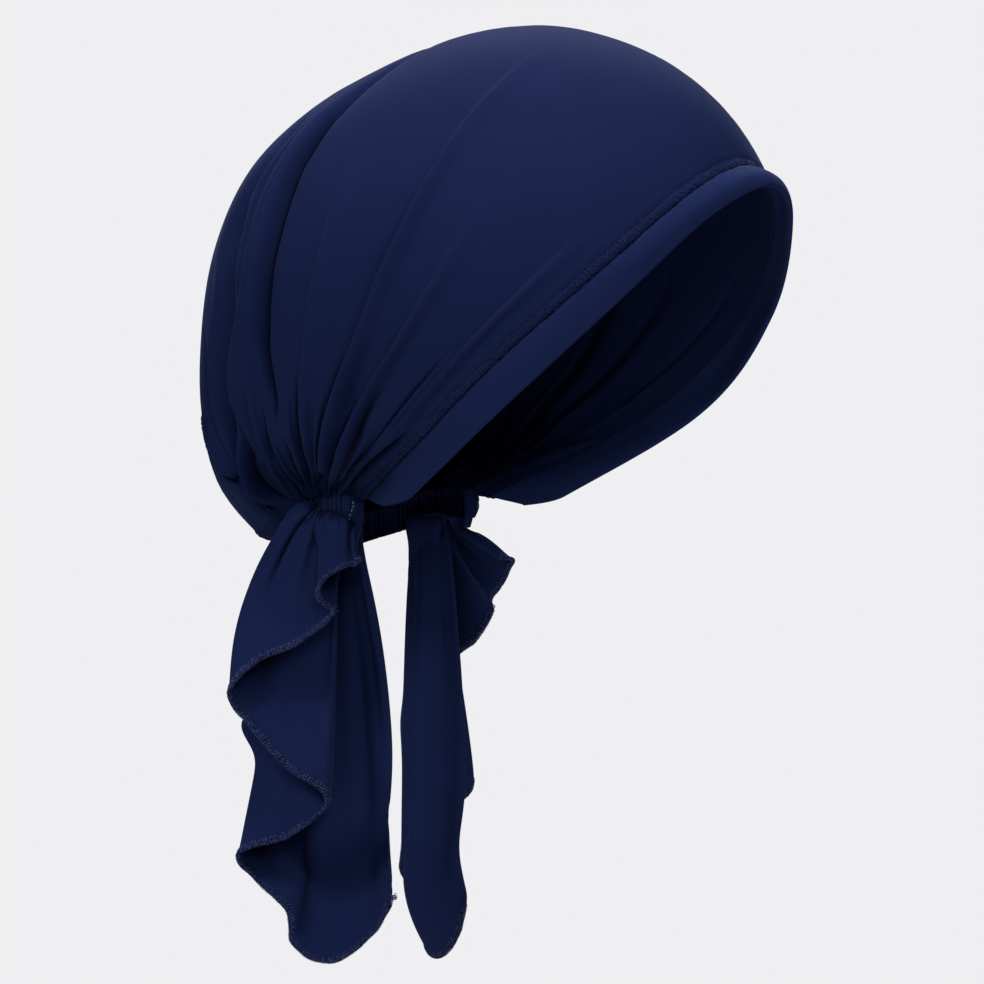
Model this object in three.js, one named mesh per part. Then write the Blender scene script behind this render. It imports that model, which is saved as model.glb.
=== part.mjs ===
// Pre-tied jersey headscarf in its worn form, without the head.
// Millimetres, +Z up, the face looks along -Y, the wearer's right is -X.
// The origin is the inside of the crown's top, where the top of the head sits.
import * as THREE from "three";
import { mergeVertices } from "three/addons/utils/BufferGeometryUtils.js";

// ---- driving dimensions -------------------------------------------------
const CLOTH = 1.2; // one layer of jersey
const HEM_CLOTH = 2.2; // the turned face hem, two layers pressed together
const CASING_CLOTH = 2.6; // elastic inside its ruched casing
const CASING_HEIGHT = 8.6;
const CASING_SINK = 0.4; // how far the casing's top edge lies below the crown's edge
const CASING_INSET = 2.8; // and how far inside it
const RUCHE = { count: 24, height: 0.55 };
const TAIL_TURN = Math.PI / 6; // each tail's face is turned this far out of the middle plane
const TAIL_TOP = { height: -170.7, slope: 0.5, from: 66 }; // falls away aft, under the casing
const TAIL_CLOTH = 1.3;

// Height of the point all crown radii are measured from, below the crown's top.
const CENTRE = new THREE.Vector3(0, 0, -95);
const HEM_EDGE = 0.06; // share of the crown's sweep taken by the face hem
const HEM_GAP = 0.0018; // left free between the hem and the crown
const HEM_ENDS = 0.975; // how far towards each gather the hem runs

// Crown radii, one row per angle from straight up: towards the face, the nape and the side.
const FORM = [
  { angle: 0, face: 94.4, nape: 94.4, side: 94.4 },
  { angle: 20, face: 94.6, nape: 94.2, side: 90.6 },
  { angle: 35, face: 95.6, nape: 97.4, side: 86 },
  { angle: 50, face: 96.0, nape: 105, side: 82 },
  { angle: 65, face: 95.5, nape: 113.5, side: 80 },
  { angle: 80, face: 95.5, nape: 118.5, side: 79.5 },
  { angle: 95, face: 96.5, nape: 123, side: 80 },
  { angle: 108, face: 97, nape: 129.5, side: 81 },
  { angle: 118, face: 96, nape: 134, side: 82 },
  { angle: 126, face: 95, nape: 132, side: 83 },
  { angle: 133, face: 94, nape: 127, side: 84 },
  { angle: 140, face: 93, nape: 120, side: 85 },
  { angle: 150, face: 92, nape: 112, side: 85 },
  { angle: 180, face: 90, nape: 100, side: 85 },
];

// Lines of the cloth that run from the right gather over the crown to the left one. One row per
// line, by its share of the sweep from face hem to nape: the points where it leaves the gather,
// at each quarter of the way up, and where it crosses the middle. The right half; the left mirrors.
const LINES = [
  { sweep: 0.0, leave: [-50, 21, -167], low: [-69.5, -32, -133], half: [-57, -66, -100],
    high: [-29.5, -87, -70], cross: [0, -95, -59] },
  { sweep: HEM_EDGE, leave: [-43, 42, -162], low: [-76, -21, -123], half: [-62.5, -60.5, -86],
    high: [-33, -85.5, -55.5], cross: [0, -93, -44] },
  { sweep: 0.1, leave: [-42.5, 46, -161], low: [-73, 4, -129], half: [-72, -40, -89],
    high: [-50, -70, -53], cross: [0, -86, -31] },
  { sweep: 0.24, leave: [-41.5, 49, -160.5], low: [-71, 26, -132], half: [-79, 0, -97],
    high: [-64, -26, -48], cross: [0, -52, -12] },
  { sweep: 0.38, leave: [-40.5, 51, -160.5], low: [-71, 36, -127], half: [-78, 15, -88],
    high: [-58, -2, -34], cross: [0, -14, -1] },
  { sweep: 0.5, leave: [-39.5, 53, -160.5], low: [-69, 50, -121], half: [-72, 41, -78],
    high: [-48, 32, -27], cross: [0, 24, -4] },
  { sweep: 0.6, leave: [-38.5, 55.5, -161], low: [-62, 68, -122], half: [-63, 63, -75],
    high: [-40, 56, -31], cross: [0, 52, -17] },
  { sweep: 0.7, leave: [-37.5, 58, -161.5], low: [-50, 88, -126], half: [-53, 81, -72],
    high: [-34, 75, -40], cross: [0, 71, -29] },
  { sweep: 0.82, leave: [-36.5, 61, -162], low: [-42, 105, -144], half: [-44, 104, -98],
    high: [-29, 103, -72], cross: [0, 103, -65] },
  { sweep: 0.91, leave: [-35.5, 63.5, -163], low: [-37, 107, -161], half: [-38, 112, -140],
    high: [-24, 117, -127], cross: [0, 119, -122] },
  { sweep: 0.965, leave: [-34.5, 66, -164], low: [-33, 98, -178], half: [-29, 103, -177],
    high: [-18, 106, -177], cross: [0, 107, -177] },
  { sweep: 1.0, leave: [-33, 69, -165.5], low: [-26, 77, -168.5], half: [-18, 81, -170.5],
    high: [-9, 83, -171], cross: [0, 83.5, -171] },
];

// Folds that fan out of the two gathers. sweep: where on the crown; width: share of the sweep;
// right and left: height out of the cloth on each side, valleys negative; reach: how far it runs,
// 1 being the middle line.
const FOLDS = [
  { sweep: 0.08, width: 0.018, right: -0.9, left: -0.6, reach: 0.5 },
  { sweep: 0.105, width: 0.022, right: 1.4, left: 1.0, reach: 0.66 },
  { sweep: 0.19, width: 0.022, right: -1.3, left: -1.0, reach: 0.5 },
  { sweep: 0.225, width: 0.02, right: 1.5, left: 1.3, reach: 0.56 },
  { sweep: 0.335, width: 0.02, right: -1.8, left: -1.3, reach: 0.72 },
  { sweep: 0.365, width: 0.018, right: 1.9, left: 1.5, reach: 0.78 },
  { sweep: 0.46, width: 0.02, right: -0.8, left: -1.2, reach: 0.5 },
  { sweep: 0.495, width: 0.022, right: 1.3, left: 1.4, reach: 0.6 },
  { sweep: 0.555, width: 0.02, right: 1.4, left: 1.0, reach: 0.9 },
  { sweep: 0.592, width: 0.018, right: -3.2, left: -2.6, reach: 1.02 },
  { sweep: 0.63, width: 0.018, right: 1.7, left: 1.2, reach: 0.95 },
  { sweep: 0.7, width: 0.022, right: 2.4, left: 1.8, reach: 1.5 },
  { sweep: 0.742, width: 0.022, right: -3.0, left: -2.4, reach: 1.3 },
  { sweep: 0.79, width: 0.022, right: 1.6, left: 1.2, reach: 0.8 },
  { sweep: 0.86, width: 0.022, right: -1.8, left: -1.4, reach: 0.7 },
  { sweep: 0.925, width: 0.018, right: -2.2, left: -1.8, reach: 0.8 },
  { sweep: 0.95, width: 0.014, right: 1.4, left: 1.2, reach: 0.8 },
];

// A tail's free edge, from its short front flap back and forth to its long rear panel. One row per
// turn or mid point: aft, drop and out are where the edge hangs, topAft and topOut where that line
// of cloth leaves the casing, flare how early it spreads, below 1 being early. aft runs back from
// the origin in the tail's own plane, out away from it.
const TAIL_EDGE = [
  { aft: 57, drop: -186, out: 29, topAft: 57, topOut: 21, flare: 1 },
  { aft: 64, drop: -188.5, out: 30.5, topAft: 61, topOut: 18, flare: 0.9 },
  { aft: 71.6, drop: -197, out: 28.5, topAft: 66.5, topOut: 13.5, flare: 0.7 },
  { aft: 65.6, drop: -203.5, out: 25, topAft: 63, topOut: 14, flare: 1 },
  { aft: 78.3, drop: -213.8, out: 24.5, topAft: 66, topOut: 11, flare: 0.8 },
  { aft: 92.8, drop: -220, out: 22.5, topAft: 71, topOut: 6.5, flare: 0.7 },
  { aft: 100.8, drop: -230, out: 18.5, topAft: 74.5, topOut: 2, flare: 0.68 },
  { aft: 95.6, drop: -246.5, out: 15.5, topAft: 71, topOut: 3.5, flare: 0.7 },
  { aft: 81, drop: -260.5, out: 16, topAft: 66, topOut: 8, flare: 0.8 },
  { aft: 68.6, drop: -267, out: 13.5, topAft: 61, topOut: 11, flare: 0.7 },
  { aft: 78, drop: -279, out: 10, topAft: 65, topOut: 5.5, flare: 0.8 },
  { aft: 98.6, drop: -287.5, out: 5, topAft: 73, topOut: -2, flare: 0.85 },
  { aft: 91, drop: -295, out: 1.5, topAft: 70, topOut: -2, flare: 0.9 },
  { aft: 80.5, drop: -309, out: 2.5, topAft: 66, topOut: 1.5, flare: 1 },
  { aft: 71, drop: -323, out: 6, topAft: 62, topOut: 5, flare: 1 },
  { aft: 59, drop: -318, out: 10, topAft: 59, topOut: 8, flare: 1 },
  { aft: 46, drop: -299, out: 14.5, topAft: 58.5, topOut: 12, flare: 0.6 },
];
const TAILS = {
  right: { side: 1, spread: 1, length: 1 },
  left: { side: -1, spread: 0.93, length: 1.04 },
};

// Mesh fineness, and the step in u and v that a surface's normal is taken over.
const GRID = { crownAlong: 30, crownAcross: 0.034, hem: 40, casing: 96, tail: 44, tailDown: 8 };
const NORMAL_STEP = 1e-3;

// ---- curves and blends --------------------------------------------------
const ramp = (x) => THREE.MathUtils.smoothstep(x, 0, 1);

// Smooth curve through rows of numbers at rising keys.
function smoothRows(keys, rows, key) {
  const last = keys.length - 1;
  let i = 0;
  while (i < last - 1 && key >= keys[i + 1]) i++;
  const span = keys[i + 1] - keys[i];
  const t = THREE.MathUtils.clamp((key - keys[i]) / span, 0, 1);
  const slope = (j, n) => {
    const a = Math.max(j - 1, 0), b = Math.min(j + 1, last);
    return (rows[b][n] - rows[a][n]) / (keys[b] - keys[a]);
  };
  const t2 = t * t, t3 = t2 * t;
  return rows[i].map((p, n) =>
    (2 * t3 - 3 * t2 + 1) * p + (t3 - 2 * t2 + t) * span * slope(i, n) +
    (3 * t2 - 2 * t3) * rows[i + 1][n] + (t3 - t2) * span * slope(i + 1, n));
}

// ---- crown surface ------------------------------------------------------
const formKeys = FORM.map((row) => row.angle);
const formRows = FORM.map((row) => [row.face, row.nape, row.side]);

// Distance from the centre to the cloth's middle in a unit direction.
function formRadius(way) {
  const angle = THREE.MathUtils.radToDeg(Math.acos(THREE.MathUtils.clamp(way.z, -1, 1)));
  const flat = Math.hypot(way.x, way.y) + 1e-9;
  const back = way.y / flat, side = way.x / flat;
  const [face, nape, across] = smoothRows(formKeys, formRows, angle);
  const lengthwise = THREE.MathUtils.lerp(face, nape, ramp(0.5 + 0.5 * back));
  return 1 / Math.hypot(back / lengthwise, side / across);
}

const lineKeys = LINES.map((row) => row.sweep);
const quarterKeys = [0, 0.25, 0.5, 0.75, 1, 1.25];

// Height of all the folds at a place on the crown; climb is 0 at a gather, 1 at the middle line.
function foldHeight(sweep, climb, onRight) {
  return FOLDS.reduce((sum, fold) => {
    const near = Math.exp(-(((sweep - fold.sweep) / fold.width) ** 2));
    const rise = ramp(climb / 0.22) * (1 - ramp((climb - 0.45 * fold.reach) / (0.55 * fold.reach)));
    return sum + near * rise * (onRight ? fold.right : fold.left);
  }, 0);
}

// Middle of the cloth: sweep 0 face edge to 1 nape edge, over -1 right gather to 1 left gather.
function crownAt(sweep, over) {
  const climb = 1 - Math.abs(over);
  const across = LINES.map(({ leave, low, half, high, cross }) => {
    const beyond = [-high[0], high[1], high[2]];
    return smoothRows(quarterKeys, [leave, low, half, high, cross, beyond], climb);
  });
  const point = new THREE.Vector3(...smoothRows(lineKeys, across, sweep));
  if (over > 0) point.x *= -1;
  const way = point.clone().sub(CENTRE);
  const reach = way.length();
  way.normalize();
  const full = ramp(climb / 0.16) * ramp(sweep / 0.06) * ramp((1 - sweep) / 0.035);
  const mirror = 0.5 - 0.5 * THREE.MathUtils.clamp(over / 0.1, -1, 1);
  const folds = THREE.MathUtils.lerp(
    foldHeight(sweep, climb, false), foldHeight(sweep, climb, true), ramp(mirror));
  const radius = THREE.MathUtils.lerp(reach, formRadius(way) + folds, full);
  return way.multiplyScalar(radius).add(CENTRE);
}

// ---- cloth as a closed solid --------------------------------------------
// A closed sheet of this thickness on the surface at(u, v), from a box with one cell for each step
// between the u and v stations. Its outer face is the one from which u runs right as v runs up.
function clothSolid(at, us, vs, thickness) {
  const columns = us.length - 1, rows = vs.length - 1;
  const box = new THREE.BoxGeometry(columns, rows, thickness, columns, rows, 1);
  box.translate(columns / 2, rows / 2, 0);
  const corner = new THREE.Vector3(), cells = box.attributes.position;
  for (let n = 0; n < cells.count; n++) {
    corner.fromBufferAttribute(cells, n);
    const u = us[Math.round(corner.x)], v = vs[Math.round(corner.y)];
    const before = [Math.max(u - NORMAL_STEP, us[0]), Math.max(v - NORMAL_STEP, vs[0])];
    const after = [Math.min(u + NORMAL_STEP, us[columns]), Math.min(v + NORMAL_STEP, vs[rows])];
    const alongU = at(after[0], v).sub(at(before[0], v));
    const alongV = at(u, after[1]).sub(at(u, before[1]));
    const outward = alongU.cross(alongV).normalize();
    cells.setXYZ(n, ...at(u, v).addScaledVector(outward, corner.z));
  }
  box.deleteAttribute("normal");
  box.deleteAttribute("uv");
  const sheet = mergeVertices(box);
  sheet.computeVertexNormals();
  return sheet;
}

const evenly = (from, to, count) =>
  Array.from({ length: count + 1 }, (_, i) => from + ((to - from) * i) / count);

// Sweep stations of the crown: every fold's crest and feet, with the gaps between filled in.
function crownStations() {
  const marks = [HEM_EDGE + HEM_GAP, 1];
  FOLDS.forEach((fold) => marks.push(fold.sweep, fold.sweep + 1.3 * fold.width));
  marks.sort((a, b) => a - b);
  const kept = marks.filter((mark, i) => i === 0 || mark - marks[i - 1] > 0.006);
  return kept.flatMap((mark, i) => {
    if (i === 0) return [mark];
    const pieces = Math.ceil((mark - kept[i - 1]) / GRID.crownAcross);
    return evenly(kept[i - 1], mark, pieces).slice(1);
  });
}

// ---- nape casing --------------------------------------------------------
// Its top edge follows the crown's lower edge from the right hem end round the nape to the left.
const CASING_PATH = new THREE.CatmullRomCurve3(
  [[-44.5, 36, -162], [-42.5, 46, -161], [-39.5, 53.5, -161], [-36.5, 61, -162], [-33, 69, -165.5],
    [-26, 77, -168.5], [-18, 81, -170.5], [0, 83.5, -171]]
    .flatMap(([x, y, z], i, half) => i === half.length - 1 ? [[x, y, z]] : [[x, y, z], [-x, y, z]])
    .sort((a, b) => a[0] - b[0])
    .map(([x, y, z]) => new THREE.Vector3(x, y, z)), false, "centripetal");

function casingAt(around, up) {
  const point = CASING_PATH.getPointAt(THREE.MathUtils.clamp(around, 0, 1));
  const along = CASING_PATH.getTangentAt(THREE.MathUtils.clamp(around, 0, 1));
  const outward = new THREE.Vector3(-along.y, along.x, 0).normalize();
  const ends = ramp(around / 0.12) * ramp((1 - around) / 0.12);
  const ruche = Math.cos(2 * Math.PI * RUCHE.count * around) * RUCHE.height * ends;
  const belly = Math.sin(Math.PI * up) * 1.2;
  point.addScaledVector(outward, ruche + belly - CASING_INSET);
  point.z -= CASING_SINK + CASING_HEIGHT * (1 - up);
  return point;
}

// ---- tails --------------------------------------------------------------
const edgeKeys = TAIL_EDGE.map((_, i) => i / (TAIL_EDGE.length - 1));

// share: 0 the front flap's free edge to 1 the rear panel's; down: 0 at the casing to 1 at the hem.
function tailAt(share, down, { side, spread, length }) {
  const rows = TAIL_EDGE.map((row) =>
    [row.aft, row.drop, row.out, row.topAft, row.topOut, row.flare]);
  const [aft, drop, out, topAft, topOut, flare] = smoothRows(edgeKeys, rows, share);
  const hungAft = topAft + (aft - topAft) * spread * down ** flare;
  const hungOut = topOut + (out - topOut) * ramp(down * 0.5) * 2;
  const x = -hungAft * Math.sin(TAIL_TURN) - hungOut * Math.cos(TAIL_TURN);
  const y = hungAft * Math.cos(TAIL_TURN) - hungOut * Math.sin(TAIL_TURN);
  const top = TAIL_TOP.height - TAIL_TOP.slope * Math.max(0, topAft - TAIL_TOP.from);
  return new THREE.Vector3(side * x, y, top + ((drop - top) * length) * down);
}

// ---- assembly -----------------------------------------------------------
function clothMesh(name, geometry) {
  geometry.translate(0, 0, CLOTH);
  const material = new THREE.MeshStandardMaterial({ color: 0x1b2450, roughness: 0.85 });
  const mesh = new THREE.Mesh(geometry, material);
  mesh.name = name;
  return mesh;
}

const scarf = new THREE.Group();
scarf.name = "headscarf";
const overs = evenly(-1, 1, GRID.crownAlong);
scarf.add(
  clothMesh("crown", clothSolid((u, v) => crownAt(v, u), overs, crownStations(), CLOTH)),
  clothMesh("face_hem", clothSolid((u, v) => crownAt(v, u), evenly(-HEM_ENDS, HEM_ENDS, GRID.hem),
    evenly(0, HEM_EDGE, 2), HEM_CLOTH)),
  clothMesh("nape_casing", clothSolid((u, v) => casingAt(u, v), evenly(0, 1, GRID.casing),
    evenly(0, 1, 2), CASING_CLOTH)),
);
for (const [name, tail] of Object.entries(TAILS)) {
  const at = tail.side > 0 ? (u, v) => tailAt(u, v, tail) : (u, v) => tailAt(1 - u, v, tail);
  scarf.add(clothMesh(`${name}_tail`, clothSolid(at, evenly(0, 1, GRID.tail),
    evenly(0, 1, GRID.tailDown), TAIL_CLOTH)));
}

export default scarf;
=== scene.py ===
"""Pre-tied navy jersey headscarf in its worn form: the cloth, stitches and finish around its frame.

The cloth is worked out in millimetres in the frame's own axes (+Z up, the face looks along -Y, the
wearer's right is -X, the origin is the inside of the crown's top) and turned to metres as each
piece is made.
"""
import math

import bpy
import numpy as np
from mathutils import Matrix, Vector

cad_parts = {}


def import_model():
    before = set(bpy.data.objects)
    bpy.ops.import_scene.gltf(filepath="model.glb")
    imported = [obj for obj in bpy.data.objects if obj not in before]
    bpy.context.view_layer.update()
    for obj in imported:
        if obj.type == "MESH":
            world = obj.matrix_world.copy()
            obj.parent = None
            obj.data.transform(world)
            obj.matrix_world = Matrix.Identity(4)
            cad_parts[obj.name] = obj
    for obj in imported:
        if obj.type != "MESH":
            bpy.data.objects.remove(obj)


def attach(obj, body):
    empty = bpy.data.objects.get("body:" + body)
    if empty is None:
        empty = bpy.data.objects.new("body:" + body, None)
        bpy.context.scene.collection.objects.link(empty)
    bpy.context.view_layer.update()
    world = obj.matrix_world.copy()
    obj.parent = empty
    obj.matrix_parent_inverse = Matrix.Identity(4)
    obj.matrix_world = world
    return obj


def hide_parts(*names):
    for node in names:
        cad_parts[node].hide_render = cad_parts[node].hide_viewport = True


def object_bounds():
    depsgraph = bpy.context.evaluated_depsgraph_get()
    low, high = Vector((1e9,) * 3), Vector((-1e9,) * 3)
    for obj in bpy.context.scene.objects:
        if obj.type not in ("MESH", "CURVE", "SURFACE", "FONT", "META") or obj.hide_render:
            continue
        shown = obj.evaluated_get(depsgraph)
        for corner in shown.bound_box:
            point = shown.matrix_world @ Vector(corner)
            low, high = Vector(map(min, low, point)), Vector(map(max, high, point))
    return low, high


MM = 0.001

# ---- the crown, as in the frame's solids ------------------------------------
CLOTH_TOP = 1.2  # the crown's outside top is this far above the origin
CENTRE = np.array([0.0, 0.0, -95.0])  # all crown radii are measured from here
HEM_EDGE = 0.045  # share of the crown's sweep taken by the face hem
HEM_DEPTH = 12.0  # from the hem's folded edge to its seam

# Crown radii, one row per angle from straight up: towards the face, the nape and the side.
FORM_COLUMNS = ("angle", "face", "nape", "side")
FORM = [
    (0, 94.4, 94.4, 94.4),
    (20, 94.6, 94.2, 90.6),
    (35, 95.6, 97.4, 86),
    (50, 96, 105, 82),
    (65, 95.5, 113.5, 80),
    (80, 95.5, 118.5, 79.5),
    (95, 96.5, 123, 80),
    (108, 97, 129.5, 81),
    (118, 96, 134, 82),
    (126, 95, 132, 83),
    (133, 94, 127, 84),
    (140, 93, 120, 85),
    (150, 92, 112, 85),
    (180, 90, 100, 85),
]

# Lines of the cloth from the right gather over the crown to the left one: share of the sweep from
# face hem to nape, then the points at the gather, at each quarter of the way up, and at the middle.
LINE_COLUMNS = ("sweep", "leave", "low", "half", "high", "cross")
LINES = [
    (0, (-50, 21, -167), (-69.5, -32, -133), (-57, -66, -100), (-29.5, -87, -70), (0, -95, -59)),
    (0.06, (-43, 42, -162), (-76, -21, -123), (-62.5, -60.5, -86), (-33, -85.5, -55.5), (0, -93, -44)),
    (0.1, (-42.5, 46, -161), (-73, 4, -129), (-72, -40, -89), (-50, -70, -53), (0, -86, -31)),
    (0.24, (-41.5, 49, -160.5), (-71, 26, -132), (-79, 0, -97), (-64, -26, -48), (0, -52, -12)),
    (0.38, (-40.5, 51, -160.5), (-71, 36, -127), (-78, 15, -88), (-58, -2, -34), (0, -14, -1)),
    (0.5, (-39.5, 53, -160.5), (-69, 50, -121), (-72, 41, -78), (-48, 32, -27), (0, 24, -4)),
    (0.6, (-38.5, 55.5, -161), (-62, 68, -122), (-63, 63, -75), (-40, 56, -31), (0, 52, -17)),
    (0.7, (-37.5, 58, -161.5), (-50, 88, -126), (-53, 81, -72), (-34, 75, -40), (0, 71, -29)),
    (0.82, (-36.5, 61, -162), (-42, 105, -144), (-44, 104, -98), (-29, 103, -72), (0, 103, -65)),
    (0.91, (-35.5, 63.5, -163), (-37, 107, -161), (-38, 112, -140), (-24, 117, -127), (0, 119, -122)),
    (0.965, (-34.5, 66, -164), (-33, 98, -178), (-29, 103, -177), (-18, 106, -177), (0, 107, -177)),
    (1, (-33, 69, -165.5), (-26, 77, -168.5), (-18, 81, -170.5), (-9, 83, -171), (0, 83.5, -171)),
]

# Near a gather the cloth is drawn together, so that a fold which keeps its place across the cloth
# meets the net of lines further back. One row per climb up from the gather: that climb, then the
# place on the net of the folds at each of these shares of the cloth's width.
DRAWN_SHARES = (0.0, 0.045, 0.06, 0.09, 0.22, 0.35, 0.45, 0.50, 0.58, 0.60, 0.67, 1.0)
DRAWN_IN = [
    (0, 0, 0.045, 0.06, 0.33, 0.55, 0.75, 0.81, 0.86, 0.93, 0.955, 0.985, 1),
    (0.02, 0, 0.045, 0.06, 0.29, 0.46, 0.66, 0.71, 0.79, 0.87, 0.94, 0.98, 1),
    (0.04, 0, 0.045, 0.06, 0.21, 0.37, 0.54, 0.61, 0.67, 0.75, 0.86, 0.97, 1),
    (0.06, 0, 0.045, 0.06, 0.155, 0.31, 0.455, 0.54, 0.6, 0.68, 0.76, 0.955, 1),
    (0.08, 0, 0.045, 0.06, 0.135, 0.265, 0.4, 0.485, 0.55, 0.63, 0.69, 0.93, 1),
    (0.1, 0, 0.045, 0.06, 0.12, 0.235, 0.36, 0.455, 0.515, 0.597, 0.635, 0.87, 1),
    (0.12, 0, 0.045, 0.06, 0.105, 0.222, 0.343, 0.45, 0.497, 0.585, 0.607, 0.75, 1),
    (0.15, 0, 0.045, 0.06, 0.093, 0.218, 0.343, 0.447, 0.497, 0.58, 0.599, 0.685, 1),
    (0.2, 0, 0.045, 0.06, 0.09, 0.22, 0.35, 0.45, 0.5, 0.58, 0.6, 0.67, 1),
]

# Folds that fan out of each gather: height out of the cloth (valleys negative), half widths towards
# the face and the nape in millimetres, the climbs where the fold starts and ends, and its path as
# (climb, share of the cloth's width) points.
FOLD_COLUMNS = ("height", "face_width", "nape_width", "start", "end", "path")
FOLDS = [
    (-9, 5, 4, 0, 0.16, [(0.01, 0.064), (0.04, 0.067), (0.08, 0.068)]),
    (2.6, 1.5, 2.4, 0, 0.17, [(0.01, 0.072), (0.08, 0.08)]),
    (2, 5, 1.8, 0.1, 0.6, [(0.16, 0.078), (0.38, 0.083)]),
    (-3.8, 1.6, 1.4, 0, 0.36, [(0.1, 0.092), (0.3, 0.093)]),
    (1.8, 1.9, 1.9, 0, 0.24, [(0.1, 0.117)]),
    (-4.4, 2.6, 3.2, 0, 0.32, [(0.13, 0.146), (0.19, 0.165), (0.25, 0.182)]),
    (-1.2, 6.5, 6.5, 0.16, 0.58, [(0.2, 0.186), (0.4, 0.19)]),
    (3.6, 4.6, 1.5, 0, 0.68, [(0.12, 0.212), (0.24, 0.208), (0.4, 0.2), (0.56, 0.205)]),
    (-2, 1.2, 1.3, 0, 0.3, [(0.12, 0.236)]),
    (-2.2, 8, 6, 0.2, 0.8, [(0.26, 0.27), (0.38, 0.297), (0.5, 0.33), (0.66, 0.322)]),
    (-4.2, 1.5, 1.4, 0, 0.36, [(0.14, 0.34), (0.26, 0.35)]),
    (4.4, 4.4, 1.5, 0.04, 0.92, [(0.2, 0.322), (0.37, 0.322), (0.5, 0.338), (0.6, 0.33),
                                (0.72, 0.324)]),
    (1.9, 1.7, 1.7, 0, 0.28, [(0.15, 0.374), (0.23, 0.386)]),
    (-2.8, 1.6, 1.5, 0, 0.2, [(0.12, 0.432)]),
    (-1.4, 5, 4, 0.18, 0.56, [(0.23, 0.442), (0.41, 0.473)]),
    (3.4, 4.2, 1.5, 0, 0.68, [(0.15, 0.43), (0.24, 0.453), (0.4, 0.472), (0.57, 0.473)]),
    (-3, 1.4, 1.4, 0, 0.28, [(0.13, 0.47), (0.22, 0.482)]),
    (1.9, 1.6, 1.6, 0, 0.26, [(0.13, 0.496), (0.2, 0.506)]),
    (-2.4, 1.4, 1.4, 0, 0.16, [(0.08, 0.535)]),
    (-4.6, 2.8, 1.7, 0.15, 1.12, [(0.2, 0.552), (0.3, 0.573), (0.38, 0.575), (0.5, 0.573),
                                 (0.62, 0.572), (0.7, 0.566), (0.78, 0.548), (0.9, 0.515)]),
    (1.6, 1.9, 4, 0.2, 0.9, [(0.2, 0.564), (0.3, 0.584), (0.38, 0.586), (0.5, 0.584),
                                (0.62, 0.583), (0.7, 0.577), (0.8, 0.555)]),
    (1.8, 1.5, 1.5, 0, 0.18, [(0.1, 0.572)]),
    (-3, 1.3, 1.3, 0, 0.24, [(0.1, 0.586)]),
    (2.8, 2.4, 1.8, 0, 0.34, [(0.13, 0.602), (0.28, 0.605)]),
    (-5.4, 4.2, 4.2, 0.02, 0.28, [(0.1, 0.636), (0.22, 0.64)]),
    (6.4, 7.5, 3, 0.03, 0.9, [(0.08, 0.655), (0.14, 0.645), (0.2, 0.638), (0.29, 0.622),
                               (0.36, 0.607), (0.44, 0.599), (0.57, 0.6), (0.75, 0.586)]),
    (2.2, 5, 5, 0.36, 0.9, [(0.42, 0.65), (0.49, 0.672), (0.57, 0.679), (0.64, 0.65),
                                (0.72, 0.62)]),
    (-15, 3.4, 10.5, 0.08, 0.86, [(0.15, 0.692), (0.26, 0.683), (0.37, 0.683), (0.43, 0.7),
                                  (0.56, 0.712), (0.62, 0.7), (0.7, 0.67)]),
    (2.2, 5, 5, 0.04, 0.7, [(0.1, 0.735), (0.4, 0.76), (0.6, 0.79)]),
    (-2.2, 5, 5, 0.03, 0.6, [(0.12, 0.775), (0.5, 0.85)]),
    (-3.6, 2.6, 2.6, 0.03, 0.78, [(0.1, 0.705), (0.12, 0.77), (0.15, 0.84), (0.2, 0.876),
                                 (0.62, 0.938)]),
    (2.2, 2.4, 2.4, 0.03, 0.7, [(0.1, 0.69), (0.12, 0.745), (0.15, 0.815), (0.2, 0.858),
                                (0.6, 0.92)]),
]
LEFT_FOLDS = {"share": 0.85, "uneven": 0.35, "shift": 0.012}  # the left side's folds against the right
CRISP_WIDTH = 5.5  # valleys narrower than this are creased, not rounded
FINEST_FOLD = 0.75  # half width in millimetres that no fold goes below at the gathers

# ---- the nape casing --------------------------------------------------------
# Its top edge: points from the turned-in right end round to the middle of the nape.
CASING_POINTS = [
    (-34.9, 42.5, -161.5), (-40, 42.7, -161.2), (-43.4, 45.2, -161), (-40.6, 52.5, -161),
    (-36.5, 61, -162), (-33, 69, -165.5), (-26, 77, -168.5), (-18, 81, -170.5), (0, 83.5, -171),
]
CASING_HEIGHT = 10.6
CASING_TAB = 3.2  # how much further its ungathered ends reach down
CASING_SINK = -1.6  # how far its top edge lies below the crown's edge
CASING_INSET = 2.8  # and how far inside it
RUCHE = {"count": 92, "height": 2.7}
# Shares of its length that its tabs take up, that each end is left plain, and that each fades over.
CASING_ENDS = {"tab": 0.036, "tab_fade": 0.014, "plain": 0.044, "plain_fade": 0.006}

# ---- the tails --------------------------------------------------------------
TAIL_TURN = math.pi / 6  # each tail's face is turned this far out of the middle plane
# The free edge of a tail, from behind its front fold round to behind its rear panel. One row per
# turn or mid point, and two where a turn is tight.
TAIL_EDGE_COLUMNS = ("aft", "up", "out")
TAIL_EDGE = [
    (58, -184, 21), (57, -185, 28), (64, -188, 31), (70, -194, 31), (69, -198, 27),
    (65, -202, 25), (78, -213, 24.5), (92, -219, 23.5), (100, -229, 19), (96, -238, 15),
    (81, -255, 18), (69, -263, 19), (68, -269, 12), (81, -279, 9), (98, -285, 7),
    (92, -295, 2), (81, -305, 10), (80, -315, 16), (70, -321, 19), (58, -316, 18),
    (46, -302, 13), (46, -295, 3), (53, -291, -5),
]
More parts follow.
